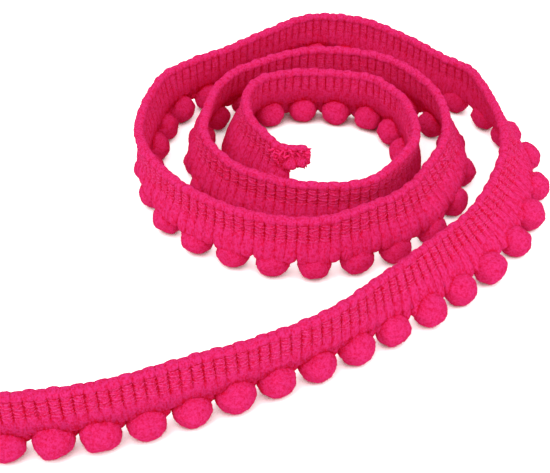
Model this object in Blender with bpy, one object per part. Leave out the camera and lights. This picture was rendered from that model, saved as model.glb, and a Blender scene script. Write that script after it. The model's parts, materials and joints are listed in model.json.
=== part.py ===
"""Pompom fringe trim: a ribbed braid edged with a row of small pompoms.

The trim stands on its pompoms, wound clockwise (seen from above) in a loose coil of about
two and three quarter turns, and its outer end runs out as a free tail. Units are metres,
+Z is up, and the origin is the middle of the trim's bounding box, at the floor.
"""

import math

import bmesh
import bpy
import numpy as np

MM = 0.001

# Size of the trim, across its width
POMPOM_RADIUS = 2.5 * MM
TRIM_WIDTH = 10.4 * MM
MIDDLE_HEIGHT = 6.0 * MM       # line of the face along which the trim's length is measured
STRIP_BOTTOM = 0.6 * MM        # above the pompoms' centre line, along the leaning face
STRIP_TOP = 2.2 * MM
PIECE_GAP = 0.3 * MM
BRAID_BOTTOM = STRIP_TOP + PIECE_GAP
BRAID_TOP = TRIM_WIDTH - POMPOM_RADIUS

# Size of the trim, through its thickness
RIB_HALF_THICKNESS = 0.75 * MM
GROOVE_HALF_THICKNESS = 0.45 * MM
GROOVE_DROP = 0.45 * MM        # how far the top edge dips between two ribs
STRIP_HALF_THICKNESS = 0.5 * MM

# Repeats along the trim
POMPOM_PITCH = 5.8 * MM        # where the trim is neither stretched nor gathered
RIBS_PER_POMPOM = 4
RIB_PITCH = POMPOM_PITCH / RIBS_PER_POMPOM
RIB_CREST_SHARE = 0.52         # share of the pitch that is a rib's flat crest
STRIP_STEPS_PER_POMPOM = 2

# Inner end: a torn flap of the braid's upper part runs on past the cut edge
FLAP_LENGTH = 3.6 * MM
FLAP_BOTTOM = 4.1 * MM
FLAP_DROOP = 0.6 * MM
FIRST_POMPOM = FLAP_LENGTH + 7.0 * MM

# Fringe arcs: a new arc starts when the last one has turned or grown this far
ARC_MAX_TURN = math.radians(45.0)
ARC_MAX_POMPOMS = 6

# Path of the pompoms' centre line in the coil, a row for each section.
# bearing: clockwise from +X round the coil's middle, running on past full turns, degrees
# radius: from the coil's middle, millimetres
# lean: of the trim's top edge towards the middle, degrees
COIL_SECTIONS = (
    # bearing, radius, lean
    (106, 5.0, 3),
    (145, 7.0, 5),
    (180, 9.0, 9),
    (195, 11.5, 12),
    (210, 14.0, 13),
    (225, 16.0, 8),
    (240, 17.5, 5),
    (255, 17.5, 5),
    (270, 17.5, 5),
    (300, 18.0, 2),
    (315, 17.5, 2),
    (330, 16.5, -1),
    (360, 14.5, -6),
    (390, 13.0, -6),
    (420, 13.5, -2),
    (450, 13.0, 2),
    (480, 13.5, 4),
    (510, 15.5, 7),
    (540, 18.0, 10),
    (570, 20.5, 14),
    (585, 22.0, 13),
    (600, 22.5, 9),
    (630, 24.0, 3),
    (660, 25.0, 4),
    (690, 24.0, 11),
    (720, 23.0, 26),
    (750, 21.5, 33),
    (765, 21.0, 27),
    (780, 20.5, 20),
    (810, 20.5, 2),
    (840, 21.5, 1),
    (870, 24.0, 6),
    (900, 25.5, -8),
    (930, 27.5, -8),
    (945, 28.0, -1),
    (960, 28.0, 2),
    (975, 30.5, 2),
    (990, 35.0, 2),
    (1005, 35.0, 1),
    (1020, 32.5, 1),
    (1035, 31.5, 6),
    (1050, 33.0, 15),
    (1080, 34.0, 44),
    (1110, 32.5, 58),
    (1140, 32.5, 40),
)

# The tail goes on from the coil, a row for each section, measured from the coil's middle
TAIL_SECTIONS = (
    # x, y in millimetres, lean
    (9.5, -33.0, 24),
    (1.5, -38.0, 8),
    (-7.5, -42.5, 6),
    (-16.5, -46.5, 11),
    (-25.5, -49.5, 8),
    (-34.5, -51.0, 7),
    (-44.0, -51.5, 7),
    (-53.0, -51.5, 7),
)

# How far the trim is stretched along its length, a row for each place
STRETCH = (
    # distance from the inner end in millimetres, length over natural length
    (0, 0.95),
    (45, 0.96),
    (70, 1.02),
    (160, 1.03),
    (180, 1.15),
    (195, 1.02),
    (222, 1.02),
    (232, 1.12),
    (245, 1.02),
    (335, 1.006),
    (375, 1.045),
    (395, 0.965),
    (450, 0.91),
)

PATH_STEPS_PER_SECTION = 40
HEADING_REACH = 0.6 * MM       # the direction of travel is read between points this far to each side
LAST_POMPOM_MARGIN = 0.4 * POMPOM_PITCH

# Small unevenness: the two turns that a value's wave makes from one piece to the next, radians
FAST_TURN = 2.399
SLOW_TURN = 0.731
TOP_WOBBLE = 0.12 * MM         # of the ribs' height
POMPOM_SIZE_WOBBLE = 0.03      # share of the radius

# Pompom shape: rings of a slightly lumpy ball with a small flat at the floor
POMPOM_SEGMENTS = 7
POMPOM_RINGS = (
    # height above the floor and ring radius, as shares of the pompom's radius
    (0.00, 0.46),
    (0.52, 0.88),
    (1.22, 0.98),
    (1.80, 0.58),
)
POMPOM_LUMP = 0.05             # how far the lumps stand out, as a share of the radius
LUMP_TURN_PER_SEGMENT = 2.1    # radians of the lumps' wave, round a ring
LUMP_TURN_PER_RING = 1.7       # and from one ring to the next

# Colours, linear
BRAID_COLOUR = (0.745, 0.016, 0.107, 1.0)
POMPOM_COLOUR = (0.78, 0.018, 0.112, 1.0)
CLOTH_ROUGHNESS = 0.9


def section_points():
    """Rows of the two tables as x, y in metres and lean in radians."""
    rows = []
    for bearing, radius, lean in COIL_SECTIONS:
        angle = math.radians(-bearing)
        rows.append((radius * MM * math.cos(angle), radius * MM * math.sin(angle), math.radians(lean)))
    for x, y, lean in TAIL_SECTIONS:
        rows.append((x * MM, y * MM, math.radians(lean)))
    return np.array(rows)


def smooth_through(points, steps):
    """Catmull-Rom curve through the points, with the given steps between two of them."""
    first = 2 * points[0] - points[1]
    last = 2 * points[-1] - points[-2]
    padded = np.vstack([first, points, last])
    curve = []
    for i in range(1, len(padded) - 2):
        before, start, end, after = padded[i - 1:i + 3]
        for step in range(steps):
            t = step / steps
            curve.append(0.5 * (2 * start
                                + (end - before) * t
                                + (2 * before - 5 * start + 4 * end - after) * t ** 2
                                + (3 * start - before - 3 * end + after) * t ** 3))
    curve.append(points[-1])
    return np.array(curve)


class TrimPath:
    """The pompoms' centre line, read by the trim's natural length from its inner end."""

    def __init__(self):
        self.curve = smooth_through(section_points(), PATH_STEPS_PER_SECTION)
        ahead = np.gradient(self.curve[:, :2], axis=0)
        ahead /= np.linalg.norm(ahead, axis=1)[:, None]
        inward = np.stack([ahead[:, 1], -ahead[:, 0]], axis=1)
        middle = self.curve[:, :2] + MIDDLE_HEIGHT * np.sin(self.curve[:, 2:3]) * inward
        steps = np.linalg.norm(np.diff(middle, axis=0), axis=1)
        lengths = np.cumsum(steps)
        places = [place * MM for place, _ in STRETCH]
        stretch = np.interp(lengths, places, [amount for _, amount in STRETCH])
        self.distance = np.concatenate([[0.0], np.cumsum(steps / stretch)])
        self.length = float(self.distance[-1])

    def read(self, s):
        """Place (x, y) and lean at distance s along the path."""
        return [float(np.interp(s, self.distance, self.curve[:, i])) for i in range(3)]

    def heading(self, s):
        """Unit direction of travel at distance s."""
        x0, y0, _ = self.read(max(0.0, s - HEADING_REACH))
        x1, y1, _ = self.read(min(self.length, s + HEADING_REACH))
        size = math.hypot(x1 - x0, y1 - y0)
        return (x1 - x0) / size, (y1 - y0) / size

    def point(self, s, up, out):
        """A point of the trim's leaning face.

        s is the distance along the path, up the height above the pompoms' centre line along
        the face, and out the distance off the face, away from the coil's middle.
        """
        x, y, lean = self.read(s)
        ahead_x, ahead_y = self.heading(s)
        inward = (ahead_y, -ahead_x)
        across = up * math.sin(lean) - out * math.cos(lean)
        return (x + across * inward[0],
                y + across * inward[1],
                POMPOM_RADIUS + up * math.cos(lean) + out * math.sin(lean))


def wobble(index, size):
    """A small uneven value that repeats each run, from -size to size."""
    return size * math.sin(index * FAST_TURN) * math.cos(index * SLOW_TURN)


def cloth_material(name, colour):
    """Matt cloth in one colour."""
    material = bpy.data.materials.new(name)
    material.use_nodes = True
    shader = material.node_tree.nodes["Principled BSDF"]
    shader.inputs["Base Color"].default_value = colour
    shader.inputs["Roughness"].default_value = CLOTH_ROUGHNESS
    shader.inputs["Metallic"].default_value = 0.0
    return material


def new_object(name, bm, material):
    """Put a bmesh in the scene as an object with its faces pointing out."""
    bmesh.ops.triangulate(bm, faces=bm.faces)
    bmesh.ops.recalc_face_normals(bm, faces=bm.faces)
    mesh = bpy.data.meshes.new(name)
    bm.to_mesh(mesh)
    bm.free()
    mesh.materials.append(material)
    thing = bpy.data.objects.new(name, mesh)
    bpy.context.collection.objects.link(thing)
    return thing


def loft(bm, sections):
    """Skin a row of sections with the same number of points, and close both ends."""
    loops = []
    for section in sections:
        loops.append([bm.verts.new(point) for point in section])
    count = len(loops[0])
    for near, far in zip(loops, loops[1:]):
        for i in range(count):
            j = (i + 1) % count
            bm.faces.new((near[i], near[j], far[j], far[i]))
    bm.faces.new(loops[0])
    bm.faces.new(reversed(loops[-1]))


def braid_bottom(s):
    """Lower edge of the braid at distance s: higher along the torn flap."""
    if s < FLAP_LENGTH:
        return FLAP_BOTTOM
    return BRAID_BOTTOM


def braid_section(path, s, half_thickness, top):
    """Four corners of the braid's cross-section, from the inner face round to the outer."""
    bottom = braid_bottom(s)
    if s < FLAP_LENGTH:
        top -= FLAP_DROOP * (1.0 - s / FLAP_LENGTH)
    return [
        path.point(s, bottom, -half_thickness),
        path.point(s, top, -half_thickness),
        path.point(s, top, half_thickness),
        path.point(s, bottom, half_thickness),
    ]


def build_braid(path, material):
    """The ribbed band: a flat crest for each rib and a groove between two ribs."""
    sections = []
    rib_count = int(path.length / RIB_PITCH)
    half_crest = 0.5 * RIB_CREST_SHARE * RIB_PITCH
    for rib in range(rib_count):
        middle = (rib + 0.5) * RIB_PITCH
        top = BRAID_TOP + wobble(rib, TOP_WOBBLE)
        sections.append(braid_section(path, middle - half_crest, RIB_HALF_THICKNESS, top))
        sections.append(braid_section(path, middle + half_crest, RIB_HALF_THICKNESS, top))
        if rib < rib_count - 1:
            groove = (rib + 1) * RIB_PITCH
            sections.append(braid_section(path, groove, GROOVE_HALF_THICKNESS, BRAID_TOP - GROOVE_DROP))
    bm = bmesh.new()
    loft(bm, sections)
    return new_object("braid", bm, material)


def add_pompom(bm, path, s, index):
    """A lumpy ball that stands on the floor on a small flat."""
    x, y, _ = path.read(s)
    ahead_x, ahead_y = path.heading(s)
    turn = math.atan2(ahead_y, ahead_x) + index
    size = 1.0 + wobble(index, POMPOM_SIZE_WOBBLE)
    loops = []
    for ring, (height, radius) in enumerate(POMPOM_RINGS):
        lump_height = POMPOM_LUMP if height > 0 else 0.0
        loop = []
        for segment in range(POMPOM_SEGMENTS):
            angle = turn + 2 * math.pi * segment / POMPOM_SEGMENTS
            wave = math.sin(LUMP_TURN_PER_SEGMENT * segment + LUMP_TURN_PER_RING * ring + index)
            reach = radius * POMPOM_RADIUS * size * (1.0 + lump_height * wave)
            loop.append((x + reach * math.cos(angle), y + reach * math.sin(angle), height * POMPOM_RADIUS))
        loops.append(loop)
    loft(bm, loops)


def pompom_places(path):
    """Distances along the path at which the pompoms hang."""
    count = int((path.length - FIRST_POMPOM - LAST_POMPOM_MARGIN) / POMPOM_PITCH) + 1
    return [FIRST_POMPOM + i * POMPOM_PITCH for i in range(count)]


def fringe_arcs(path, places):
    """Group the pompoms in arcs that neither turn nor run on too far."""
    arcs = []
    arc = []
    turned = 0.0
    previous = None
    for index, s in enumerate(places):
        heading = math.atan2(*reversed(path.heading(s)))
        if previous is not None:
            step = (heading - previous + math.pi) % (2 * math.pi) - math.pi
            turned += abs(step)
        previous = heading
        if arc and (turned > ARC_MAX_TURN or len(arc) >= ARC_MAX_POMPOMS):
            arcs.append(arc)
            arc = []
            turned = 0.0
        arc.append((index, s))
    arcs.append(arc)
    return arcs


def build_fringe_arc(path, arc, name, material):
    """One arc of the fringe: its strip, with its pompoms fused to it."""
    start = arc[0][1] - 0.5 * (POMPOM_PITCH - PIECE_GAP)
    if arc[0][0] == 0:
        start = FLAP_LENGTH
    end = arc[-1][1] + 0.5 * (POMPOM_PITCH - PIECE_GAP)
    end = min(end, path.length)
    steps = STRIP_STEPS_PER_POMPOM * len(arc)
    half = STRIP_HALF_THICKNESS
    sections = []
    for i in range(steps + 1):
        s = start + (end - start) * i / steps
        sections.append([path.point(s, STRIP_BOTTOM, -half),
                         path.point(s, STRIP_TOP, -half),
                         path.point(s, STRIP_TOP, half),
                         path.point(s, STRIP_BOTTOM, half)])
    bm = bmesh.new()
    loft(bm, sections)
    strip = new_object(name, bm, material)

    bm = bmesh.new()
    for index, s in arc:
        add_pompom(bm, path, s, index)
    balls = new_object(name + "_balls", bm, material)
    union = strip.modifiers.new("pompoms", "BOOLEAN")
    union.operation = "UNION"
    union.object = balls
    bpy.context.view_layer.update()
    fused = bpy.data.meshes.new_from_object(strip.evaluated_get(bpy.context.evaluated_depsgraph_get()))
    strip.modifiers.clear()
    strip.data = fused
    bpy.data.objects.remove(balls)
    return strip


def centre_on_floor(things):
    """Shift every mesh so that the middle of the whole box is the origin."""
    corners = np.array([vertex.co for thing in things for vertex in thing.data.vertices])
    low = corners.min(axis=0)
    high = corners.max(axis=0)
    shift = np.array([-0.5 * (low[0] + high[0]), -0.5 * (low[1] + high[1]), -low[2]])
    for thing in things:
        for vertex in thing.data.vertices:
            vertex.co = [vertex.co[axis] + shift[axis] for axis in range(3)]
    return shift


def main():
    """Clear the scene, build the trim, and return the shift that put it on the floor."""
    for thing in list(bpy.data.objects):
        bpy.data.objects.remove(thing)
    path = TrimPath()
    braid_cloth = cloth_material("braid_cloth", BRAID_COLOUR)
    pompom_yarn = cloth_material("pompom_yarn", POMPOM_COLOUR)
    things = [build_braid(path, braid_cloth)]
    arcs = fringe_arcs(path, pompom_places(path))
    for number, arc in enumerate(arcs, start=1):
        things.append(build_fringe_arc(path, arc, f"pompoms_{number:02d}", pompom_yarn))
    return centre_on_floor(things)


main()
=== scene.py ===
"""Pompom fringe trim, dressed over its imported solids.

The trim is a warp-knitted braid of soft yarn ribs, held by rows of chain stitches, with a row of
clipped yarn pompoms along its lower edge. It stands on its pompoms, wound in a loose coil with a
torn inner end and a free tail. Sizes are metres, +Z is up.
"""

import json
import logging
import math
import random
from collections.abc import Mapping, Sequence
from dataclasses import dataclass
from enum import Enum
from typing import Any

import bpy
import numpy as np
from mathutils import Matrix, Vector, noise

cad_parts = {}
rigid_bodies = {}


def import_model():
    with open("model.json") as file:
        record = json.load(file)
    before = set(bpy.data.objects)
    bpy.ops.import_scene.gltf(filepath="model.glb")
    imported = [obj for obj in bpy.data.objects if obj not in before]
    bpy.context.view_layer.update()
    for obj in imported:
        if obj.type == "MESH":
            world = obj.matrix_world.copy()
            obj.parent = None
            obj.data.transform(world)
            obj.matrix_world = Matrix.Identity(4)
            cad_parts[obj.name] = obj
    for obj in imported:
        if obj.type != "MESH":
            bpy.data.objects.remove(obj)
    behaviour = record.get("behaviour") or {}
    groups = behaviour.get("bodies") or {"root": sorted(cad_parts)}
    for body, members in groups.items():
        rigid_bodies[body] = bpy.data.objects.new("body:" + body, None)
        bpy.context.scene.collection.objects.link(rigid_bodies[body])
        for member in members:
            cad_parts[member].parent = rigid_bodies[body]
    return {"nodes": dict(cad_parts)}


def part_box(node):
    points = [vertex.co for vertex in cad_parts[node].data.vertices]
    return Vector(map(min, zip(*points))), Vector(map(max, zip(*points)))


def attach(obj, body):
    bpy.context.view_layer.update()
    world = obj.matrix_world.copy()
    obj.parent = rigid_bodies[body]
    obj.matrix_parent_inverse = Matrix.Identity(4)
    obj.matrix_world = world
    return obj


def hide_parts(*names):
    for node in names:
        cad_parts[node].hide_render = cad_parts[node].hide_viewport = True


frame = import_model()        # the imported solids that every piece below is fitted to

LOG = logging.getLogger("pompom_trim")
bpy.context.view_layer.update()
MM = 0.001
BODY = "root"

# How the yarn's shader group mixes its tones: fibre noise and ambient occlusion pick between a lit and a shaded
# copy of the yarn colour, which paints shade into the crevices
CREVICE_SHADE_REACH = 0.9 * MM
CREVICE_SHADE_SAMPLES = 6
STREAK_SHARE = 0.45
FUZZ_SHARE = 0.55
OPEN_SHARE = 0.6
TONE_SHARE = 0.55
TONE_RANGE = (0.40, 0.60)
LIGHT_RANGE = (0.25, 1.15)

# Path of the pompoms' centre line in the coil, a row for each section
COIL_SECTIONS = (
    # bearing clockwise from +X in degrees, radius in mm, lean of the top edge inwards in degrees
    (106, 5.0, 3),
    (145, 7.0, 5),
    (180, 9.0, 9),
    (195, 11.5, 12),
    (210, 14.0, 13),
    (225, 16.0, 8),
    (240, 17.5, 5),
    (255, 17.5, 5),
    (270, 17.5, 5),
    (300, 18.0, 2),
    (315, 17.5, 2),
    (330, 16.5, -1),
    (360, 14.5, -6),
    (390, 13.0, -6),
    (420, 13.5, -2),
    (450, 13.0, 2),
    (480, 13.5, 4),
    (510, 15.5, 7),
    (540, 18.0, 10),
    (570, 20.5, 14),
    (585, 22.0, 13),
    (600, 22.5, 9),
    (630, 24.0, 3),
    (660, 25.0, 4),
    (690, 24.0, 11),
    (720, 23.0, 26),
    (750, 21.5, 33),
    (765, 21.0, 27),
    (780, 20.5, 20),
    (810, 20.5, 2),
    (840, 21.5, 1),
    (870, 24.0, 6),
    (900, 25.5, -8),
    (930, 27.5, -8),
    (945, 28.0, -1),
    (960, 28.0, 2),
    (975, 30.5, 2),
    (990, 35.0, 2),
    (1005, 35.0, 1),
    (1020, 32.5, 1),
    (1035, 31.5, 6),
    (1050, 33.0, 15),
    (1080, 34.0, 44),
    (1110, 32.5, 58),
    (1140, 32.5, 40),
)

# The tail goes on from the coil, measured from the coil's middle
TAIL_SECTIONS = (
    # x and y in millimetres, lean in degrees
    (9.5, -33.0, 24),
    (1.5, -38.0, 8),
    (-7.5, -42.5, 6),
    (-16.5, -46.5, 11),
    (-25.5, -49.5, 8),
    (-34.5, -51.0, 7),
    (-44.0, -51.5, 7),
    (-53.0, -51.5, 7),
)

# How far the trim is stretched along its length
STRETCH = (
    # distance from the inner end in millimetres, length over natural length
    (0, 0.95),
    (45, 0.96),
    (70, 1.02),
    (160, 1.03),
    (180, 1.15),
    (195, 1.02),
    (222, 1.02),
    (232, 1.12),
    (245, 1.02),
    (335, 1.006),
    (375, 1.045),
    (395, 0.965),
    (450, 0.91),
)

# Profile of one rib from its top down; each row of chain stitches pinches it
RIB_PROFILE = (
    # depth below the top edge, half width, half thickness outside and inside in mm; squareness
    (0.00, 0.36, 0.26, 0.26, 2.0),
    (0.06, 0.62, 0.44, 0.44, 2.2),
    (0.17, 0.84, 0.60, 0.58, 2.4),
    (0.38, 0.96, 0.73, 0.71, 2.6),
    (0.66, 0.99, 0.79, 0.77, 2.7),
    (0.88, 0.90, 0.74, 0.72, 2.8),
    (1.06, 0.66, 0.58, 0.57, 3.2),
    (1.30, 0.68, 0.70, 0.66, 3.0),
    (1.56, 0.69, 0.73, 0.68, 3.0),
    (1.82, 0.68, 0.70, 0.66, 3.0),
    (2.06, 0.64, 0.60, 0.59, 3.2),
    (2.30, 0.68, 0.70, 0.66, 3.0),
    (2.54, 0.69, 0.73, 0.68, 3.0),
    (2.80, 0.68, 0.70, 0.66, 3.0),
    (3.04, 0.64, 0.61, 0.60, 3.2),
    (3.30, 0.70, 0.72, 0.67, 3.0),
    (3.74, 0.82, 0.84, 0.76, 2.6),
    (4.20, 0.95, 0.95, 0.88, 2.5),
    (5.00, 1.03, 1.06, 0.96, 2.5),
    (5.80, 1.06, 1.09, 0.98, 2.5),
    (6.50, 1.04, 1.04, 0.94, 2.5),
    (7.05, 0.92, 0.88, 0.80, 2.4),
    (7.45, 0.60, 0.58, 0.55, 2.2),
)
STITCH_ROWS = (
    # depth below the top edge, yarn radius and rise across the rib in mm
    (1.07, 0.17, 0.06),
    (1.57, 0.13, 0.20),
    (2.06, 0.17, 0.06),
    (2.55, 0.13, 0.20),
    (3.05, 0.17, 0.06),
    (3.46, 0.12, 0.13),
)

# How the trim changes along its length
ALONG = (
    # distance from the inner end, how far the floats' feet curl outwards and reach down, how far the
    # pompoms lie outwards, all in mm; relative thickness of the floats' feet and size of the pompoms
    (0, 0.8, 0.6, -0.2, 1.00, 0.98),
    (15, 1.7, 2.8, -0.1, 0.70, 1.00),
    (70, 1.7, 2.8, -0.1, 0.70, 1.02),
    (85, 0.7, 0.6, 0.0, 1.00, 1.00),
    (120, 0.7, 0.6, 0.0, 1.00, 1.00),
    (130, 1.2, 1.8, -0.2, 0.80, 1.02),
    (155, 1.2, 1.8, -0.2, 0.80, 1.02),
    (170, 0.5, 0.0, 0.0, 1.00, 1.02),
    (200, 0.7, 0.0, 0.0, 1.00, 1.04),
    (250, 0.7, 0.0, 0.0, 1.00, 1.04),
    (262, 0.9, 1.2, -0.3, 0.90, 1.04),
    (285, 0.9, 1.2, -0.3, 0.90, 1.04),
    (302, 0.0, 0.8, 0.2, 1.00, 1.04),
    (325, -0.2, 0.4, 0.2, 1.00, 1.04),
    (350, -0.3, 0.3, 0.1, 0.90, 1.03),
    (380, -0.9, 0.9, -0.2, 0.85, 1.04),
    (400, -1.2, 1.3, -0.3, 0.80, 1.05),
    (450, -1.2, 1.3, -0.3, 0.80, 1.05),
)


class Slot(Enum):
    """The record's material slots."""

    BRAID = "braid_cloth"
    POMPOM = "pompom_yarn"


@dataclass(frozen=True)
class TrimSizes:
    """Sizes that the whole trim shares, in metres, the same as the solids'."""

    pompom_radius: float = 2.5 * MM
    width: float = 10.4 * MM
    middle_height: float = 6.0 * MM
    pompom_pitch: float = 5.8 * MM
    ribs_per_pompom: int = 4
    flap_length: float = 3.6 * MM
    flap_bottom: float = 4.1 * MM
    first_pompom: float = 10.6 * MM
    last_margin: float = 2.32 * MM

    @property
    def braid_top(self) -> float:
        """Height of the ribs' tops above the pompoms' centre line, along the face."""
        return self.width - self.pompom_radius

    @property
    def rib_pitch(self) -> float:
        """Distance from rib to rib along the unstretched trim."""
        return self.pompom_pitch / self.ribs_per_pompom


class TrimPath:
    """The pompoms' centre line, read by the trim's natural length from its inner end."""

    steps_per_section = 40
    heading_reach = 0.6 * MM
    guide_step = 0.2 * MM
    fit_steps = 3000
    band_bottom = 2.5 * MM
    crest = 0.75 * MM

    def __init__(self, sizes: TrimSizes) -> None:
        """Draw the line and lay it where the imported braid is."""
        self.sizes = sizes
        self.curve = self._smooth(self._rows())
        ahead = np.gradient(self.curve[:, :2], axis=0)
        ahead /= np.linalg.norm(ahead, axis=1)[:, None]
        inward = np.stack([ahead[:, 1], -ahead[:, 0]], axis=1)
        middle = self.curve[:, :2] + sizes.middle_height * np.sin(self.curve[:, 2:3]) * inward
        steps = np.linalg.norm(np.diff(middle, axis=0), axis=1)
        places = [place * MM for place, _ in STRETCH]
        stretch = np.interp(np.cumsum(steps), places, [amount for _, amount in STRETCH])
        self.distance = np.concatenate([[0.0], np.cumsum(steps / stretch)])
        self.length = float(self.distance[-1])
        self._fit_to_frame()

    @staticmethod
    def _rows() -> np.ndarray:
        """Rows of the two tables as x, y in metres and lean in radians."""
        coil = np.array(COIL_SECTIONS, float)
        angle = np.radians(-coil[:, 0])
        turns = np.stack([coil[:, 1] * MM * np.cos(angle), coil[:, 1] * MM * np.sin(angle),
                          np.radians(coil[:, 2])], axis=1)
        tail = np.array(TAIL_SECTIONS, float) * [MM, MM, math.radians(1.0)]
        return np.vstack([turns, tail])

    def _smooth(self, points: np.ndarray) -> np.ndarray:
        """Catmull-Rom curve through the sections.

        Args:
            points: One row for each section.

        Returns:
            The curve's rows, steps_per_section for each section.
        """
        padded = np.vstack([2 * points[0] - points[1], points, 2 * points[-1] - points[-2]])
        t = (np.arange(self.steps_per_section) / self.steps_per_section)[:, None]
        rows = []
        for before, start, end, after in zip(padded, padded[1:], padded[2:], padded[3:]):
            rows.append(0.5 * (2 * start + (end - before) * t
                               + (2 * before - 5 * start + 4 * end - after) * t ** 2
                               + (3 * start - before - 3 * end + after) * t ** 3))
        rows.append(points[-1][None])
        return np.vstack(rows)

    def _fit_to_frame(self) -> None:
        """Shift the line so that the ribs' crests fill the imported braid's box."""
        places = np.linspace(0.0, self.length, self.fit_steps)
        corners = np.vstack([self.point(places, up, out)
                             for up in (self.band_bottom, self.sizes.braid_top)
                             for out in (-self.crest, self.crest)])
        low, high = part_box("braid")
        wanted = 0.5 * (np.array(low) + np.array(high))
        found = 0.5 * (corners.min(axis=0) + corners.max(axis=0))
        self.curve[:, :2] += (wanted - found)[:2]

    @property
    def coil_middle(self) -> tuple[float, float]:
        """Where the coil's middle lies on the floor, once the line is fitted to the frame."""
        x, y = self.curve[0, :2] - self._rows()[0, :2]
        return float(x), float(y)

    def read(self, s: np.ndarray) -> np.ndarray:
        """Rows of x, y and lean at the distances s."""
        return np.stack([np.interp(s, self.distance, self.curve[:, i]) for i in range(3)], axis=-1)

    def heading(self, s: np.ndarray) -> np.ndarray:
        """Unit directions of travel in plan at the distances s."""
        near = self.read(np.maximum(0.0, s - self.heading_reach))[..., :2]
        far = self.read(np.minimum(self.length, s + self.heading_reach))[..., :2]
        step = far - near
        return step / np.linalg.norm(step, axis=-1, keepdims=True)

    def point(self, s: np.ndarray, up: float | np.ndarray, out: float | np.ndarray) -> np.ndarray:
        """Points of the trim's leaning face.

        Args:
            s: Distances along the trim.
            up: Heights above the pompoms' centre line, along the face.
            out: Distances off the face, away from the coil's middle.

        Returns:
            One row of x, y, z for each point.
        """
        s = np.asarray(s, float)
        row = self.read(s)
        ahead = self.heading(s)
        lean = row[..., 2]
        across = up * np.sin(lean) - out * np.cos(lean)
        return np.stack([row[..., 0] + across * ahead[..., 1],
                         row[..., 1] - across * ahead[..., 0],
                         self.sizes.pompom_radius + up * np.cos(lean) + out * np.sin(lean)], axis=-1)

    def guide(self) -> bpy.types.Object:
        """A hidden line of points that the node trees read the path from.

        Returns:
            An object with a vertex every guide_step, and attributes for the lean, the heading, the
            floats' curl, reach and thickness, and the pompoms' shift and size.
        """
        count = int(self.length / self.guide_step) + 2
        s = np.minimum(np.arange(count) * self.guide_step, self.length)
        row = self.read(s)
        mesh = bpy.data.meshes.new("trim_guide")
        mesh.from_pydata([(x, y, 0.0) for x, y in row[:, :2]], [], [])
        lean = mesh.attributes.new("lean", "FLOAT", "POINT")
        lean.data.foreach_set("value", row[:, 2].astype(np.float32))
        places, curls, reaches, shifts, foot_sizes, sizes = np.array(ALONG, float).T
        for name, values in (("curl", curls * MM), ("reach", reaches * MM), ("foot_size", foot_sizes),
                             ("pompom_shift", shifts * MM), ("pompom_size", sizes)):
            kept = mesh.attributes.new(name, "FLOAT", "POINT")
            kept.data.foreach_set("value", np.interp(s, places * MM, values).astype(np.float32))
        heading = mesh.attributes.new("heading", "FLOAT_VECTOR", "POINT")
        ahead = np.zeros((count, 3), np.float32)
        ahead[:, :2] = self.heading(s)
        heading.data.foreach_set("vector", ahead.ravel())
        return link(bpy.data.objects.new("trim_guide", mesh))


def link(thing: bpy.types.Object) -> bpy.types.Object:
    """Put an object in the scene and return it."""
    bpy.context.scene.collection.objects.link(thing)
    return thing


def drop(things: Sequence[bpy.types.Object]) -> None:
    """Remove helper objects from the file."""
    for thing in things:
        bpy.data.objects.remove(thing)


def mesh_object(name: str, points: np.ndarray, faces: Sequence[Sequence[int]]) -> bpy.types.Object:
    """Make a smooth-shaded mesh object with its place in its mesh.

    Args:
        name: The object's name.
        points: Rows of x, y, z.
        faces: Lists of point indices, anticlockwise seen from outside.

    Returns:
        The new object, linked to the scene.
    """
    mesh = bpy.data.meshes.new(name)
    mesh.from_pydata(np.asarray(points).tolist(), [], [list(face) for face in faces])
    mesh.validate()
    mesh.shade_smooth()
    return link(bpy.data.objects.new(name, mesh))


def tube_faces(rings: int, sides: int, first: int = 0) -> list[tuple[int, ...]]:
    """Faces of a tube whose rings follow each other, with a pole point at each end.

    Args:
        rings: Number of rings.
        sides: Points in a ring.
        first: Index of the tube's first point: its near pole, then the rings, then its far pole.

    Returns:
        The faces as tuples of point indices.
    """
    faces: list[tuple[int, ...]] = []
    start = first + 1
    end = start + rings * sides
    for i in range(sides):
        j = (i + 1) % sides
        faces.append((first, start + j, start + i))
        faces.append((end, end - sides + i, end - sides + j))
    for ring in range(rings - 1):
        a = start + ring * sides
        for i in range(sides):
            j = (i + 1) % sides
            faces.append((a + i, a + j, a + sides + j, a + sides + i))
    return faces


def ring_faces(rings: int, sides: int, first: int) -> list[tuple[int, ...]]:
    """Faces of a tube that closes on itself, wound anticlockwise round its middle.

    Args:
        rings: Number of rings.
        sides: Points in a ring.
        first: Index of the tube's first point.

    Returns:
        The faces as tuples of point indices.
    """
    faces: list[tuple[int, ...]] = []
    for ring in range(rings):
        near = first + ring * sides
        far = first + (ring + 1) % rings * sides
        for i in range(sides):
            j = (i + 1) % sides
            faces.append((near + j, near + i, far + i, far + j))
    return faces


def rounded_box(angle: float | np.ndarray, squareness: float) -> tuple[np.ndarray, np.ndarray]:
    """Points of an outline between a circle and a square, of half size 1.

    Args:
        angle: Angles round the middle, in radians.
        squareness: 2 gives a circle, more a squarer outline.

    Returns:
        The points' x and y.
    """
    power = 2.0 / squareness
    cosine, sine = np.cos(angle), np.sin(angle)
    return np.sign(cosine) * np.abs(cosine) ** power, np.sign(sine) * np.abs(sine) ** power


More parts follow.
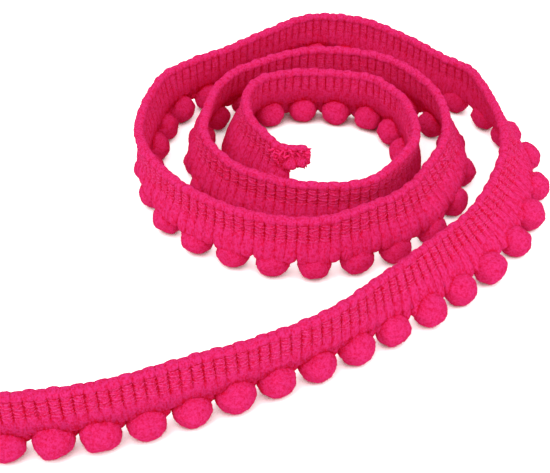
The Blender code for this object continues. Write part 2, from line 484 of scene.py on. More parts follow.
class Graph:
    """Writes a node tree: adds nodes, feeds their sockets and links them."""

    def __init__(self, tree: bpy.types.NodeTree) -> None:
        """Start writing in the tree."""
        self.tree = tree

    @staticmethod
    def _pick(sockets: Any, key: int | str) -> bpy.types.NodeSocket:
        """The socket with that index, or the first one in use with that name."""
        if isinstance(key, int):
            return sockets[key]
        return next(socket for socket in sockets if socket.name == key and socket.enabled)

    def feed(self, socket: bpy.types.NodeSocket, value: Any) -> None:
        """Link a socket or node to the socket, or set the socket's own value."""
        if isinstance(value, bpy.types.Node):
            value = next(output for output in value.outputs if output.enabled)
        if isinstance(value, bpy.types.NodeSocket):
            self.tree.links.new(value, socket)
        else:
            socket.default_value = value

    def fill(self, node: bpy.types.Node, feeds: Mapping[int | str, Any]) -> None:
        """Feed a node's inputs, by index or name."""
        for key, value in feeds.items():
            self.feed(self._pick(node.inputs, key), value)

    def add(self, kind: str, feeds: Mapping[int | str, Any] | None = None,
            **settings: Any) -> bpy.types.Node:
        """Add a node.

        Args:
            kind: The node's type.
            feeds: What goes into its inputs, by index or name.
            **settings: The node's own properties, set before the inputs.

        Returns:
            The new node.
        """
        node = self.tree.nodes.new(kind)
        for name, value in settings.items():
            setattr(node, name, value)
        self.fill(node, feeds or {})
        return node

    def out(self, node: bpy.types.Node, key: int | str) -> bpy.types.NodeSocket:
        """One of a node's outputs, by index or name."""
        return self._pick(node.outputs, key)

    def math(self, operation: str, *values: Any) -> bpy.types.NodeSocket:
        """A Math node's result."""
        return self.add("ShaderNodeMath", dict(enumerate(values)), operation=operation).outputs[0]

    def vector(self, operation: str, *values: Any) -> bpy.types.NodeSocket:
        """A Vector Math node's vector result."""
        return self.add("ShaderNodeVectorMath", dict(enumerate(values)), operation=operation).outputs[0]

    def scaled(self, value: Any, size: Any) -> bpy.types.NodeSocket:
        """A vector times a number."""
        feeds = {"Vector": value, "Scale": size}
        return self.add("ShaderNodeVectorMath", feeds, operation="SCALE").outputs[0]

    def ramp(self, value: Any, low: Any, high: Any) -> bpy.types.NodeSocket:
        """A value eased from 0 at low to 1 at high."""
        feeds = {"Value": value, "From Min": low, "From Max": high}
        return self.add("ShaderNodeMapRange", feeds, interpolation_type="SMOOTHSTEP").outputs[0]

    def split(self, value: Any) -> tuple[bpy.types.NodeSocket, ...]:
        """The x, y and z of a vector."""
        return tuple(self.add("ShaderNodeSeparateXYZ", {0: value}).outputs)

    def join(self, x: Any, y: Any, z: Any) -> bpy.types.NodeSocket:
        """A vector from x, y and z."""
        return self.add("ShaderNodeCombineXYZ", {0: x, 1: y, 2: z}).outputs[0]

    def place(self) -> bpy.types.Node:
        """Where each point is."""
        return self.add("GeometryNodeInputPosition")

    def moved(self, geometry: Any, place: Any) -> bpy.types.Node:
        """The geometry with its points put at the places."""
        return self.add("GeometryNodeSetPosition", {"Geometry": geometry, "Position": place})

    def store(self, geometry: Any, name: str, value: Any, kind: str = "FLOAT") -> bpy.types.Node:
        """The geometry with a value kept on its points."""
        feeds = {"Geometry": geometry, "Name": name, "Value": value}
        return self.add("GeometryNodeStoreNamedAttribute", feeds, data_type=kind, domain="POINT")

    def kept(self, name: str, kind: str = "FLOAT") -> bpy.types.Node:
        """A value that is kept on the points."""
        return self.add("GeometryNodeInputNamedAttribute", {"Name": name}, data_type=kind)

    def random(self, low: Any, high: Any, seed: Any, kind: str = "FLOAT") -> bpy.types.Node:
        """A random value for each point."""
        return self.add("FunctionNodeRandomValue", {"Min": low, "Max": high, "Seed": seed}, data_type=kind)


class NodeShape:
    """A Geometry Nodes tree with named inputs, and the plain mesh that it grows."""

    kinds = {
        float: "NodeSocketFloat",
        int: "NodeSocketInt",
        bpy.types.Object: "NodeSocketObject",
        bpy.types.Collection: "NodeSocketCollection",
        bpy.types.Material: "NodeSocketMaterial",
    }

    def __init__(self, name: str, inputs: Mapping[str, Any]) -> None:
        """Make the tree and its inputs.

        Args:
            name: The tree's name, also the grown object's.
            inputs: Each input's name and value, as the modifier gets it.
        """
        self.name = name
        self.values = dict(inputs)
        self.tree = bpy.data.node_groups.new(name, "GeometryNodeTree")
        self.tree.interface.new_socket("Geometry", in_out="INPUT", socket_type="NodeSocketGeometry")
        self.ids: dict[str, str] = {}
        for key, value in inputs.items():
            kind = next(socket for cls, socket in self.kinds.items() if isinstance(value, cls))
            item = self.tree.interface.new_socket(key, in_out="INPUT", socket_type=kind)
            self.ids[key] = item.identifier
        self.tree.interface.new_socket("Geometry", in_out="OUTPUT", socket_type="NodeSocketGeometry")
        self.graph = Graph(self.tree)
        self.inputs = self.graph.add("NodeGroupInput")

    def given(self, name: str) -> bpy.types.NodeSocket:
        """The tree's input with that name."""
        return self.inputs.outputs[name]

    def rested(self, geometry: Any, lowest: Any) -> bpy.types.Node:
        """The geometry with no point lower than the given height."""
        graph = self.graph
        x, y, z = graph.split(graph.place())
        return graph.moved(geometry, graph.join(x, y, graph.math("MAXIMUM", z, lowest)))

    def finish(self, geometry: Any) -> None:
        """End the tree: realize the instances, set the material, and put the geometry out."""
        real = self.graph.add("GeometryNodeRealizeInstances", {"Geometry": geometry})
        done = self.graph.add("GeometryNodeSetMaterial", {"Geometry": real, "Material": self.given("Material")})
        self.graph.add("NodeGroupOutput", {"Geometry": done})

    def grow(self, base: bpy.types.Mesh | None = None) -> bpy.types.Object:
        """Evaluate the tree and keep its result as a plain mesh.

        Args:
            base: The mesh that the tree starts from, if it needs one.

        Returns:
            A new object with no modifier.
        """
        thing = link(bpy.data.objects.new(self.name, base or bpy.data.meshes.new(self.name)))
        modifier = thing.modifiers.new("grow", "NODES")
        modifier.node_group = self.tree
        for key, value in self.values.items():
            modifier[self.ids[key]] = value
        graph = bpy.context.evaluated_depsgraph_get()
        mesh = bpy.data.meshes.new_from_object(thing.evaluated_get(graph), preserve_all_data_layers=True,
                                               depsgraph=graph)
        thing.modifiers.clear()
        mesh.name = self.name
        mesh.materials.clear()
        mesh.materials.append(self.values["Material"])
        mesh.polygons.foreach_set("material_index", np.zeros(len(mesh.polygons), np.int32))
        thing.data = mesh
        return thing


class TrimShape(NodeShape):
    """A node tree that sets out modules along a straight trim and then bends them onto the path."""

    def __init__(self, name: str, path: TrimPath, guide: bpy.types.Object, inputs: Mapping[str, Any]) -> None:
        """Make the tree with the path's inputs and the given ones."""
        shared = {
            "Guide": guide,
            "Guide Step": path.guide_step,
            "Centre Height": path.sizes.pompom_radius,
            "First Pompom": path.sizes.first_pompom,
            "Pompom Pitch": path.sizes.pompom_pitch,
        }
        super().__init__(name, {**shared, **inputs})

    def line(self, count: str, first: str, pitch: str) -> bpy.types.Node:
        """Points in a row along X, from the inputs with those names."""
        graph = self.graph
        return graph.add("GeometryNodeMeshLine", {
            "Count": self.given(count),
            "Start Location": graph.join(self.given(first), 0.0, 0.0),
            "Offset": graph.join(self.given(pitch), 0.0, 0.0),
        })

    def placed(self, points: Any, index: Any, scale: Any, turn: Any = 0.0) -> bpy.types.Node:
        """Instances of the modules, realized.

        Args:
            points: Where the modules go.
            index: Which module each point takes.
            scale: Each module's scale.
            turn: Each module's turn about Z.

        Returns:
            The realized geometry's node.
        """
        graph = self.graph
        pieces = graph.add("GeometryNodeCollectionInfo", {
            "Collection": self.given("Modules"), "Separate Children": True, "Reset Children": True,
        })
        placed = graph.add("GeometryNodeInstanceOnPoints", {
            "Points": points, "Instance": pieces, "Pick Instance": True, "Instance Index": index,
            "Rotation": graph.join(0.0, 0.0, turn), "Scale": scale,
        })
        return graph.add("GeometryNodeRealizeInstances", {"Geometry": placed})

    def from_pompom(self, s: Any) -> bpy.types.NodeSocket:
        """Distance of a place from the nearest pompom's middle, less than nothing before it."""
        graph = self.graph
        along = graph.math("DIVIDE", graph.math("SUBTRACT", s, self.given("First Pompom")),
                           self.given("Pompom Pitch"))
        share = graph.math("SUBTRACT", graph.math("FRACT", graph.math("ADD", along, 0.5)), 0.5)
        return graph.math("MULTIPLY", share, self.given("Pompom Pitch"))

    def guided(self, s: Any, name: str) -> bpy.types.NodeSocket:
        """A value of the guide line at a distance along it.

        Args:
            s: The distance.
            name: place, heading, lean, curl, reach, foot_size, pompom_shift or pompom_size.

        Returns:
            The value's socket.
        """
        graph = self.graph
        line = graph.out(graph.add("GeometryNodeObjectInfo", {"Object": self.given("Guide")}), "Geometry")
        steps = graph.math("DIVIDE", s, self.given("Guide Step"))
        kind = "FLOAT_VECTOR" if name in ("place", "heading") else "FLOAT"
        value = graph.place() if name == "place" else graph.kept(name, kind)
        whole = graph.math("FLOOR", steps)
        near, far = [graph.add("GeometryNodeSampleIndex", {
            "Geometry": line, "Value": value, "Index": index,
        }, data_type=kind, domain="POINT", clamp=True) for index in (whole, graph.math("ADD", whole, 1.0))]
        mixed = graph.add("ShaderNodeMix", {"Factor": graph.math("FRACT", steps), "A": near, "B": far},
                          data_type="VECTOR" if kind == "FLOAT_VECTOR" else "FLOAT")
        return graph.out(mixed, "Result")

    def bent(self, geometry: Any) -> bpy.types.Node:
        """Bend a straight trim, lying along X and standing along Z, onto the path.

        Args:
            geometry: The straight geometry: x along the trim, y off its face, z up the face.

        Returns:
            The bent geometry, which keeps its straight place in the trim_place attribute.
        """
        graph = self.graph
        straight = graph.store(geometry, "trim_place", graph.place(), "FLOAT_VECTOR")
        s, out, up = graph.split(graph.place())
        lean = self.guided(s, "lean")
        sine = graph.math("SINE", lean)
        cosine = graph.math("COSINE", lean)
        across = graph.math("SUBTRACT", graph.math("MULTIPLY", up, sine), graph.math("MULTIPLY", out, cosine))
        height = graph.math("ADD", graph.math("MULTIPLY", up, cosine), graph.math("MULTIPLY", out, sine))
        ahead_x, ahead_y, _ = graph.split(graph.vector("NORMALIZE", self.guided(s, "heading")))
        inward = graph.join(ahead_y, graph.math("MULTIPLY", ahead_x, -1.0), 0.0)
        raised = graph.join(0.0, 0.0, graph.math("ADD", height, self.given("Centre Height")))
        sideways = graph.vector("ADD", self.guided(s, "place"), graph.scaled(inward, across))
        world = graph.vector("ADD", sideways, raised)
        return graph.moved(straight, world)


class Modules:
    """A collection of module objects that a node tree picks from, removed when it is done."""

    def __init__(self, name: str) -> None:
        """Make an empty collection, not linked to the scene."""
        self.collection = bpy.data.collections.new(name)

    def add(self, thing: bpy.types.Object) -> None:
        """Move an object from the scene to the collection."""
        bpy.context.scene.collection.objects.unlink(thing)
        self.collection.objects.link(thing)

    def remove(self) -> None:
        """Delete the modules and their collection."""
        drop(list(self.collection.objects))
        bpy.data.collections.remove(self.collection)


@dataclass(frozen=True)
class YarnFinish:
    """A matt yarn finish: the size of its fibres, its colours and its sheen, with lit and shaded copies of the
    yarn colour for painted shade and a painted glow.
    """

    name: str
    streak_scale: tuple[float, float, float]
    fuzz_scale: float
    bump_height: float
    follows_trim: bool
    # Lit and shaded copies of the yarn colour: the shader picks between them by ambient occlusion, which paints
    # shade into crevices, and by fibre noise
    light: tuple[float, float, float] = (0.94, 0.040, 0.245)
    deep_and_shaded: tuple[float, float, float] = (0.80, 0.001, 0.022)
    roughness: float = 0.9
    sheen: float = 0.05
    sheen_roughness: float = 0.5
    sheen_tint: tuple[float, float, float] = (1.0, 0.2, 0.45)
    # A faint red emission, a painted glow that stands in for light scattered inside the yarn
    painted_scatter_glow: tuple[float, float, float] = (1.0, 0.0, 0.05)
    painted_glow_strength: float = 0.045

    def material(self) -> bpy.types.Material:
        """Build the material.

        Returns:
            A node material that reads the trim_place attribute where the yarn follows the trim.
        """
        material = bpy.data.materials.new(self.name)
        material.use_nodes = True
        graph = Graph(material.node_tree)
        if self.follows_trim:
            place = graph.out(graph.add("ShaderNodeAttribute", attribute_name="trim_place"), "Vector")
        else:
            place = graph.out(graph.add("ShaderNodeTexCoord"), "Object")
        yarn = graph.add("ShaderNodeGroup", {
            "Place": place,
            "Streak Scale": self.streak_scale,
            "Fuzz Scale": self.fuzz_scale,
            "Light": (*self.light, 1.0),
            "Deep": (*self.deep_and_shaded, 1.0),
        }, node_tree=yarn_fibre_group())
        bump = graph.add("ShaderNodeBump", {
            "Strength": 1.0, "Distance": self.bump_height, "Height": yarn.outputs["Height"],
        })
        graph.fill(material.node_tree.nodes["Principled BSDF"], {
            "Base Color": yarn.outputs["Color"],
            "Normal": bump,
            "Roughness": self.roughness,
            "Metallic": 0.0,
            "Specular IOR Level": 0.0,
            # Painted glow: a faint emission for light scattered inside the yarn
            "Emission Color": (*self.painted_scatter_glow, 1.0),
            "Emission Strength": self.painted_glow_strength,
            "Sheen Weight": self.sheen,
            "Sheen Roughness": self.sheen_roughness,
            "Sheen Tint": (*self.sheen_tint, 1.0),
        })
        return material


def yarn_fibre_group() -> bpy.types.NodeTree:
    """The shader group that every yarn shares: filament streaks, fine fuzz and painted shade in the crevices.

    Returns:
        The group, built once. It puts out a colour between Deep, the shaded copy, and Light, the lit copy,
        picked by ambient occlusion as painted shade and by fibre noise, and a height.
    """
    name = "yarn_fibres"
    if name in bpy.data.node_groups:
        return bpy.data.node_groups[name]
    tree = bpy.data.node_groups.new(name, "ShaderNodeTree")
    for key, kind in (("Place", "NodeSocketVector"), ("Streak Scale", "NodeSocketVector"),
                      ("Fuzz Scale", "NodeSocketFloat"), ("Light", "NodeSocketColor"),
                      ("Deep", "NodeSocketColor")):
        tree.interface.new_socket(key, in_out="INPUT", socket_type=kind)
    tree.interface.new_socket("Color", in_out="OUTPUT", socket_type="NodeSocketColor")
    tree.interface.new_socket("Height", in_out="OUTPUT", socket_type="NodeSocketFloat")
    graph = Graph(tree)
    given = graph.add("NodeGroupInput").outputs
    stretched = graph.vector("MULTIPLY", given["Place"], given["Streak Scale"])
    streaks = graph.add("ShaderNodeTexNoise", {"Vector": stretched, "Scale": 1.0, "Detail": 3.0,
                                               "Roughness": 0.6})
    fuzz = graph.add("ShaderNodeTexNoise", {"Vector": given["Place"], "Scale": given["Fuzz Scale"],
                                            "Detail": 4.0, "Roughness": 0.7})
    tone = graph.math("ADD", graph.math("MULTIPLY", streaks.outputs["Fac"], STREAK_SHARE),
                      graph.math("MULTIPLY", fuzz.outputs["Fac"], FUZZ_SHARE))
    # Ambient occlusion paints shade into the crevices: hemmed-in yarn takes the deep colour
    open_sky = graph.add("ShaderNodeAmbientOcclusion", {"Distance": CREVICE_SHADE_REACH}, samples=CREVICE_SHADE_SAMPLES)
    opened = graph.math("ADD", graph.math("MULTIPLY", graph.out(open_sky, "AO"), OPEN_SHARE),
                        graph.math("MULTIPLY", graph.ramp(tone, *TONE_RANGE), TONE_SHARE))
    mixed = graph.add("ShaderNodeMix", {
        "Factor": graph.ramp(opened, *LIGHT_RANGE), "A": given["Deep"], "B": given["Light"],
    }, data_type="RGBA")
    graph.add("NodeGroupOutput", {"Color": graph.out(mixed, "Result"), "Height": tone})
    return tree


# Each finish's light and deep colours are a lit and a shaded copy of its yarn colour, for painted shade
BRAID_FINISH = YarnFinish(
    name="braid_yarn",
    streak_scale=(4200.0, 4200.0, 900.0),
    fuzz_scale=2700.0,
    bump_height=0.65 * MM,
    follows_trim=True,
)
LOOSE_FINISH = YarnFinish(
    name="loose_yarn",
    streak_scale=(2600.0, 2600.0, 2600.0),
    fuzz_scale=5000.0,
    bump_height=0.1 * MM,
    follows_trim=False,
    light=(0.94, 0.05, 0.27),
    deep_and_shaded=(0.93, 0.018, 0.13),
)
# The stitches' light colour is paler, a painted highlight on the stitches
STITCH_FINISH = YarnFinish(
    name="stitch_yarn",
    streak_scale=(2600.0, 6000.0, 6000.0),
    fuzz_scale=4200.0,
    bump_height=0.3 * MM,
    follows_trim=True,
    light=(0.95, 0.070, 0.32),
    deep_and_shaded=(0.80, 0.001, 0.024),
    roughness=0.85,
)
POMPOM_FINISH = YarnFinish(
    name="pompom_yarn_clipped",
    streak_scale=(2600.0, 2600.0, 2600.0),
    fuzz_scale=6500.0,
    bump_height=0.4 * MM,
    follows_trim=False,
    roughness=0.95,
)


@dataclass
class RibbedBraid:
    """The braid: its ribs of soft yarn, the rows of chain stitches, and the ground between them."""

    sizes: TrimSizes
    path: TrimPath
    guide: bpy.types.Object
    variants: int = 8
    sides: int = 14
    stitch_steps: int = 12
    stitch_sides: int = 4
    inner_spread: float = 0.14
    stitch_inside: float = 0.6
    stitch_sink: float = 0.02 * MM
    stitch_sag: float = 0.10 * MM
    stitch_jog: float = 0.10 * MM
    stitch_steps_in_noise: tuple[float, float, float] = (1.7, 2.9, 0.5)
    curl_top: float = 5.0 * MM
    height_step: float = 0.07 * MM
    tall_depth: float = 1.3
    pole_depth: float = 0.12 * MM
    lump: float = 0.05 * MM
    lump_scale: float = 900.0
    swell: float = 1.6
    sway_scale: float = 0.5
    sway_shift: tuple[float, float, float] = (9.0, 0.0, 0.0)
    rib_steps_in_noise: tuple[float, float, float] = (7.3, 3.1, 0.0)
    gather: float = 0.11
    gather_top: float = 3.8 * MM
    gather_bottom: float = 0.9 * MM
    scallop: float = 0.25 * MM
    ground_step: float = 0.45 * MM
    ground_margin: float = 0.3 * MM
    ground_bottom: float = 1.4 * MM
    ground_depth: float = 0.75 * MM
    ground_half_thickness: float = 0.34 * MM
    flap_taper: float = 0.35
    wobble: float = 0.22 * MM
    wobble_scale: float = 420.0
    rib_bottom: float = 0.4 * MM
    seed: int = 5

    def _rib_points(self, variant: int) -> np.ndarray:
        """Points of one rib, standing on its own place along the trim.

        Args:
            variant: Number of the module; every second one is a little shorter.

        Returns:
            The near pole, the rings and the far pole, from the top down.
        """
        tall = self.height_step if variant % 2 == 0 else -self.height_step
        top = self.sizes.braid_top + tall
        angles = -2 * math.pi * (np.arange(self.sides) + 0.5) / self.sides
        rows = [np.array([[0.0, 0.0, top]])]
        for depth, half_width, outside, inside, squareness in RIB_PROFILE:
            z = (top if depth < self.tall_depth else self.sizes.braid_top) - depth * MM
            along, through = rounded_box(angles, squareness)
            thickness = np.where(through > 0, outside, inside)
            spread = 1.0 + self.inner_spread * np.maximum(0.0, -through)
            rows.append(np.stack([half_width * MM * along * spread, thickness * MM * through,
                                  np.full(self.sides, z)], axis=1))
        rows.append(np.array([[0.0, 0.0, rows[-1][0, 2] - self.pole_depth]]))
        points = np.vstack(rows)
        shift = Vector([variant * step for step in self.rib_steps_in_noise])
        for i, point in enumerate(points):
            at = Vector(point) * self.lump_scale + shift
            wave = noise.noise(at)
            side = noise.noise(at * self.sway_scale + Vector(self.sway_shift))
            radial = np.array([point[0], point[1], 0.0])
            size = np.linalg.norm(radial)
            if size > 0:
                points[i] += radial / size * wave * self.lump * self.swell
            points[i, 0] += side * self.lump
        return points

    def _ribs(self, material: bpy.types.Material) -> bpy.types.Object:
        """Grow the ribs along the trim."""
        modules = Modules("rib_modules")
        faces = tube_faces(len(RIB_PROFILE), self.sides)
        for variant in range(self.variants):
            modules.add(mesh_object(f"rib_module_{variant}", self._rib_points(variant), faces))
        thing = self._along_trim("rib_yarn", modules, material)
        modules.remove()
        return thing

    def _stitch_points(self, variant: int) -> tuple[np.ndarray, list[tuple[int, ...]]]:
        """Points and faces of the chain stitches that are wound round one rib."""
        points: list[np.ndarray] = []
        faces: list[tuple[int, ...]] = []
        profile = np.array(RIB_PROFILE)
        across = 2 * math.pi * np.arange(self.stitch_sides) / self.stitch_sides
        angles = 2 * math.pi * (np.arange(self.stitch_steps) + 0.25) / self.stitch_steps
        row_step, variant_step, noise_height = self.stitch_steps_in_noise
        for row, (depth, radius, rise) in enumerate(STITCH_ROWS):
            half_width, outside, inside, squareness = [np.interp(depth, profile[:, 0], profile[:, column])
                                                       for column in (1, 2, 3, 4)]
            slant = rise * MM * (1 if (row // 2 + variant) % 2 == 0 else -1)
            at = Vector((row * row_step, variant * variant_step, noise_height))
            along, through = rounded_box(angles, squareness)
            height = self.sizes.braid_top - depth * MM + noise.noise(at) * self.stitch_jog
            thickness = np.where(through > 0, outside, inside) * MM - self.stitch_sink
            sag = self.stitch_sag * np.cos(0.5 * math.pi * along)
            middles = np.stack([half_width * MM * along, thickness * through,
                                height + slant * along - sag], axis=1)
            away = np.stack([np.cos(angles), np.sin(angles), 0.0 * angles], axis=1)
            sizes = np.where(through > 0, radius * MM, radius * MM * self.stitch_inside)
            rings = (middles[:, None, :] + (sizes[:, None] * np.cos(across))[..., None] * away[:, None, :]
                     + (sizes[:, None] * np.sin(across))[..., None] * np.array([0.0, 0.0, 1.0]))
            first = len(points) * self.stitch_steps * self.stitch_sides
            faces += ring_faces(self.stitch_steps, self.stitch_sides, first)
            points.append(rings.reshape(-1, 3))
        return np.vstack(points), faces

    def _stitches(self, material: bpy.types.Material) -> bpy.types.Object:
        """Grow the chain stitches along the trim."""
        modules = Modules("stitch_modules")
        for variant in range(self.variants):
            points, faces = self._stitch_points(variant)
            modules.add(mesh_object(f"stitch_module_{variant}", points, faces))
        thing = self._along_trim("chain_stitches", modules, material)
        modules.remove()
        return thing

    def _along_trim(self, name: str, modules: Modules, material: bpy.types.Material) -> bpy.types.Object:
        """Set modules out along the trim, gather their feet towards the pompoms, and bend them.

        Args:
            name: The grown piece's name.
            modules: One module for each variant, in pairs of a tall and a short one.
            material: What the piece is made of.

        Returns:
            The piece.
        """
        sizes = self.sizes
        count = int(self.path.length / sizes.rib_pitch)
        shape = TrimShape(name, self.path, self.guide, {
            "Modules": modules.collection,
            "Count": count,
            "Rib Pitch": sizes.rib_pitch,
            "First Rib": 0.5 * sizes.rib_pitch,
            "Pairs": self.variants // 2,
            "Gather": self.gather,
            "Gather Top": self.gather_top,
            "Gather Bottom": self.gather_bottom,
            "Curl Top": self.curl_top,
            "Scallop": self.scallop,
            "Wobble": self.wobble,
            "Wobble Scale": self.wobble_scale,
            "Flap Length": sizes.flap_length,
            "Flap Bottom": sizes.flap_bottom,
            "Flap Taper": self.flap_taper,
            "Rib Bottom": self.rib_bottom,
            "Rib Top": sizes.braid_top,
            "Seed": self.seed,
            "Material": material,
        })
        graph = shape.graph
        number = graph.add("GeometryNodeInputIndex")
        last_pair = graph.math("SUBTRACT", shape.given("Pairs"), 1.0)
        pair = graph.random(0, last_pair, shape.given("Seed"), "INT")
        index = graph.math("ADD", graph.math("MULTIPLY", pair, 2.0), graph.math("MODULO", number, 2.0))
        line = shape.line("Count", "First Rib", "Rib Pitch")
        homes = graph.store(line, "home", graph.split(graph.place())[0])
        geometry = shape.placed(homes, index, (1.0, 1.0, 1.0))

        home = graph.kept("home")
        s, out, up = graph.split(graph.place())
        away = shape.from_pompom(home)
        pull = graph.ramp(up, shape.given("Gather Top"), shape.given("Gather Bottom"))
        moved = graph.math("MULTIPLY", graph.math("MULTIPLY", away, shape.given("Gather")), pull)
        gathered = graph.math("SUBTRACT", s, moved)
        share = graph.math("DIVIDE", away, graph.math("MULTIPLY", shape.given("Pompom Pitch"), 0.5))
        rise = graph.math("MULTIPLY", graph.math("MULTIPLY", share, share),
                          graph.math("MULTIPLY", pull, shape.given("Scallop")))
        lowered = graph.math("MULTIPLY", shape.guided(home, "reach"), pull)
        raised = graph.math("SUBTRACT", graph.math("ADD", up, rise), lowered)
        above = graph.math("SUBTRACT", up, shape.given("Rib Bottom"))
        full = graph.math("SUBTRACT", shape.given("Rib Top"), shape.given("Rib Bottom"))
        frayed = graph.math("MULTIPLY", graph.math("SUBTRACT", shape.given("Flap Length"), home),
                            shape.given("Flap Taper"))
        hem = graph.math("ADD", shape.given("Flap Bottom"), frayed)
        short = graph.math("SUBTRACT", shape.given("Rib Top"), hem)
        on_flap = graph.math("ADD", hem, graph.math("DIVIDE", graph.math("MULTIPLY", above, short), full))
        in_flap = graph.math("LESS_THAN", home, shape.given("Flap Length"))
        height = graph.out(graph.add("ShaderNodeMix", {"Factor": in_flap, "A": raised, "B": on_flap},
                                     data_type="FLOAT"), "Result")
        bend = graph.ramp(up, shape.given("Curl Top"), shape.given("Gather Bottom"))
        thinner = graph.math("SUBTRACT", 1.0, shape.guided(home, "foot_size"))
        lost = graph.math("MULTIPLY", out, graph.math("MULTIPLY", thinner, bend))
        thinned = graph.math("SUBTRACT", out, lost)
        curled = graph.math("ADD", thinned, graph.math("MULTIPLY", shape.guided(home, "curl"), bend))
        wave = graph.add("ShaderNodeTexNoise", {
            "Vector": graph.join(s, out, up), "Scale": shape.given("Wobble Scale"), "Detail": 1.0,
        })
        sway = graph.scaled(graph.vector("SUBTRACT", graph.out(wave, "Color"), (0.5, 0.5, 0.5)),
                            shape.given("Wobble"))
        laid = graph.add("GeometryNodeSetPosition", {
            "Geometry": geometry, "Position": graph.join(gathered, curled, height), "Offset": sway,
        })
        shape.finish(shape.bent(laid))
        return shape.grow()

    def _ground(self, material: bpy.types.Material) -> bpy.types.Object:
        """The thin knitted ground that closes the grooves between the ribs."""
        stations = np.arange(self.ground_margin, self.path.length - self.ground_margin, self.ground_step)
        hem = self.sizes.flap_bottom + self.flap_taper * (self.sizes.flap_length - stations)
        low = np.where(stations < self.sizes.flap_length, hem + self.ground_margin, self.ground_bottom)
        high = np.full(len(stations), self.sizes.braid_top - self.ground_depth)
        half = np.full(len(stations), self.ground_half_thickness)
        corners = [(low, -half), (low, half), (high, half), (high, -half)]
        rows = np.stack([self.path.point(stations, up, out) for up, out in corners], axis=1)
        points = np.vstack([rows[0].mean(axis=0)[None], rows.reshape(-1, 3), rows[-1].mean(axis=0)[None]])
        thing = mesh_object("braid_ground", points, tube_faces(len(stations), len(corners)))
        places = np.stack([np.stack([stations, out, up], axis=1) for up, out in corners], axis=1)
        places = places.reshape(-1, 3)
        places = np.vstack([places[0], places, places[-1]])
        kept = thing.data.attributes.new("trim_place", "FLOAT_VECTOR", "POINT")
        kept.data.foreach_set("vector", places.astype(np.float32).ravel())
        thing.data.materials.append(material)
        return thing

    def build(self) -> list[bpy.types.Object]:
        """Build the braid's pieces and hide the imported braid.

        Returns:
            The ribs, the stitches and the ground.
        """
        cloth = BRAID_FINISH.material()
        ribs = self._ribs(cloth)
        stitches = self._stitches(STITCH_FINISH.material())
        ground = self._ground(cloth)
        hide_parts("braid")
        return [ribs, stitches, ground]


@dataclass
class PompomRow:
    """The pompoms: clipped yarn balls that stand on the floor under the braid."""

    sizes: TrimSizes
    path: TrimPath
    guide: bpy.types.Object
    radius: float = 2.25 * MM
    squash: float = 0.96
    size_spread: float = 0.04
    variants: int = 6
    grid: int = 13
    lump: float = 0.10
    lump_scale: float = 1.6
    tuft: float = 0.045
    tuft_scale: float = 3.4
    stretch: float = 1.04
    steps_in_noise: tuple[float, float, float] = (5.7, 0.0, 2.3)
    floor_gap: float = 0.03 * MM
    seed: int = 11

    def _ball(self, variant: int) -> bpy.types.Object:
        """One lumpy ball, made from a cube's grid blown up to a sphere."""
        n = self.grid
        ticks = np.tan((np.arange(n + 1) / n - 0.5) * math.pi / 2)
        index: dict[tuple[float, ...], int] = {}
        points: list[np.ndarray] = []
        faces: list[tuple[int, ...]] = []
        for axis in range(3):
            for side in (-1.0, 1.0):
                numbers = np.zeros((n + 1, n + 1), int)
                for i, u in enumerate(ticks):
                    for j, v in enumerate(ticks):
                        place = np.zeros(3)
                        place[axis] = side
                        place[(axis + 1) % 3] = u
                        place[(axis + 2) % 3] = v
                        place /= np.linalg.norm(place)
                        key = tuple(np.round(place, 6))
                        if key not in index:
                            index[key] = len(points)
                            points.append(place)
                        numbers[i, j] = index[key]
                for i in range(n):
                    for j in range(n):
                        face = (numbers[i, j], numbers[i + 1, j], numbers[i + 1, j + 1], numbers[i, j + 1])
                        faces.append(face if side > 0 else face[::-1])
        shaped = []
        shift = Vector([variant * step for step in self.steps_in_noise])
        shares = np.array([self.stretch, 1.0, self.squash])
        for place in points:
            at = Vector(place) * self.lump_scale + shift
            size = 1.0 + self.lump * noise.noise(at) + self.tuft * noise.noise(at * self.tuft_scale)
            shaped.append(np.array(place) * size * self.radius * shares)
        return mesh_object(f"pompom_module_{variant}", np.array(shaped), faces)

    def build(self) -> list[bpy.types.Object]:
        """Build the pompoms and hide the imported pompoms.

        Returns:
            The row of pompoms.
        """
        sizes = self.sizes
        modules = Modules("pompom_modules")
        for variant in range(self.variants):
            modules.add(self._ball(variant))
        count = int((self.path.length - sizes.first_pompom - sizes.last_margin) / sizes.pompom_pitch) + 1
        shape = TrimShape("pompoms", self.path, self.guide, {
            "Modules": modules.collection,
            "Count": count,
            "Variants": self.variants,
            "Half Height": self.radius * self.squash,
            "Size Spread": self.size_spread,
            "Floor Gap": self.floor_gap,
            "Seed": self.seed,
            "Material": POMPOM_FINISH.material(),
        })
        graph = shape.graph
        line = shape.line("Count", "First Pompom", "Pompom Pitch")
        s = graph.split(graph.place())[0]
        least = graph.math("SUBTRACT", 1.0, shape.given("Size Spread"))
        most = graph.math("ADD", 1.0, shape.given("Size Spread"))
        spread = graph.random(least, most, graph.math("ADD", shape.given("Seed"), 1.0))
        size = graph.math("MULTIPLY", spread, shape.guided(s, "pompom_size"))
        ahead_x, ahead_y, _ = graph.split(shape.guided(s, "heading"))
        turn = graph.math("ARCTAN2", ahead_y, ahead_x)
        marked = graph.store(graph.store(line, "size", size), "turn", turn)
        outward = graph.join(graph.math("MULTIPLY", ahead_y, -1.0), ahead_x, 0.0)
        shifted = graph.vector("ADD", shape.guided(s, "place"),
                               graph.scaled(outward, shape.guided(s, "pompom_shift")))
        raised = graph.join(0.0, 0.0, graph.math("MULTIPLY", size, shape.given("Half Height")))
        points = graph.moved(marked, graph.vector("ADD", shifted, raised))
        last = graph.math("SUBTRACT", shape.given("Variants"), 1.0)
        pick = graph.random(0, last, shape.given("Seed"), "INT")
        balls = shape.placed(points, pick, graph.kept("size"), graph.kept("turn"))
        shape.finish(shape.rested(balls, shape.given("Floor Gap")))
        thing = shape.grow()
        modules.remove()
        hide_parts(*[name for name in frame["nodes"] if name.startswith("pompoms_")])
        return [thing]


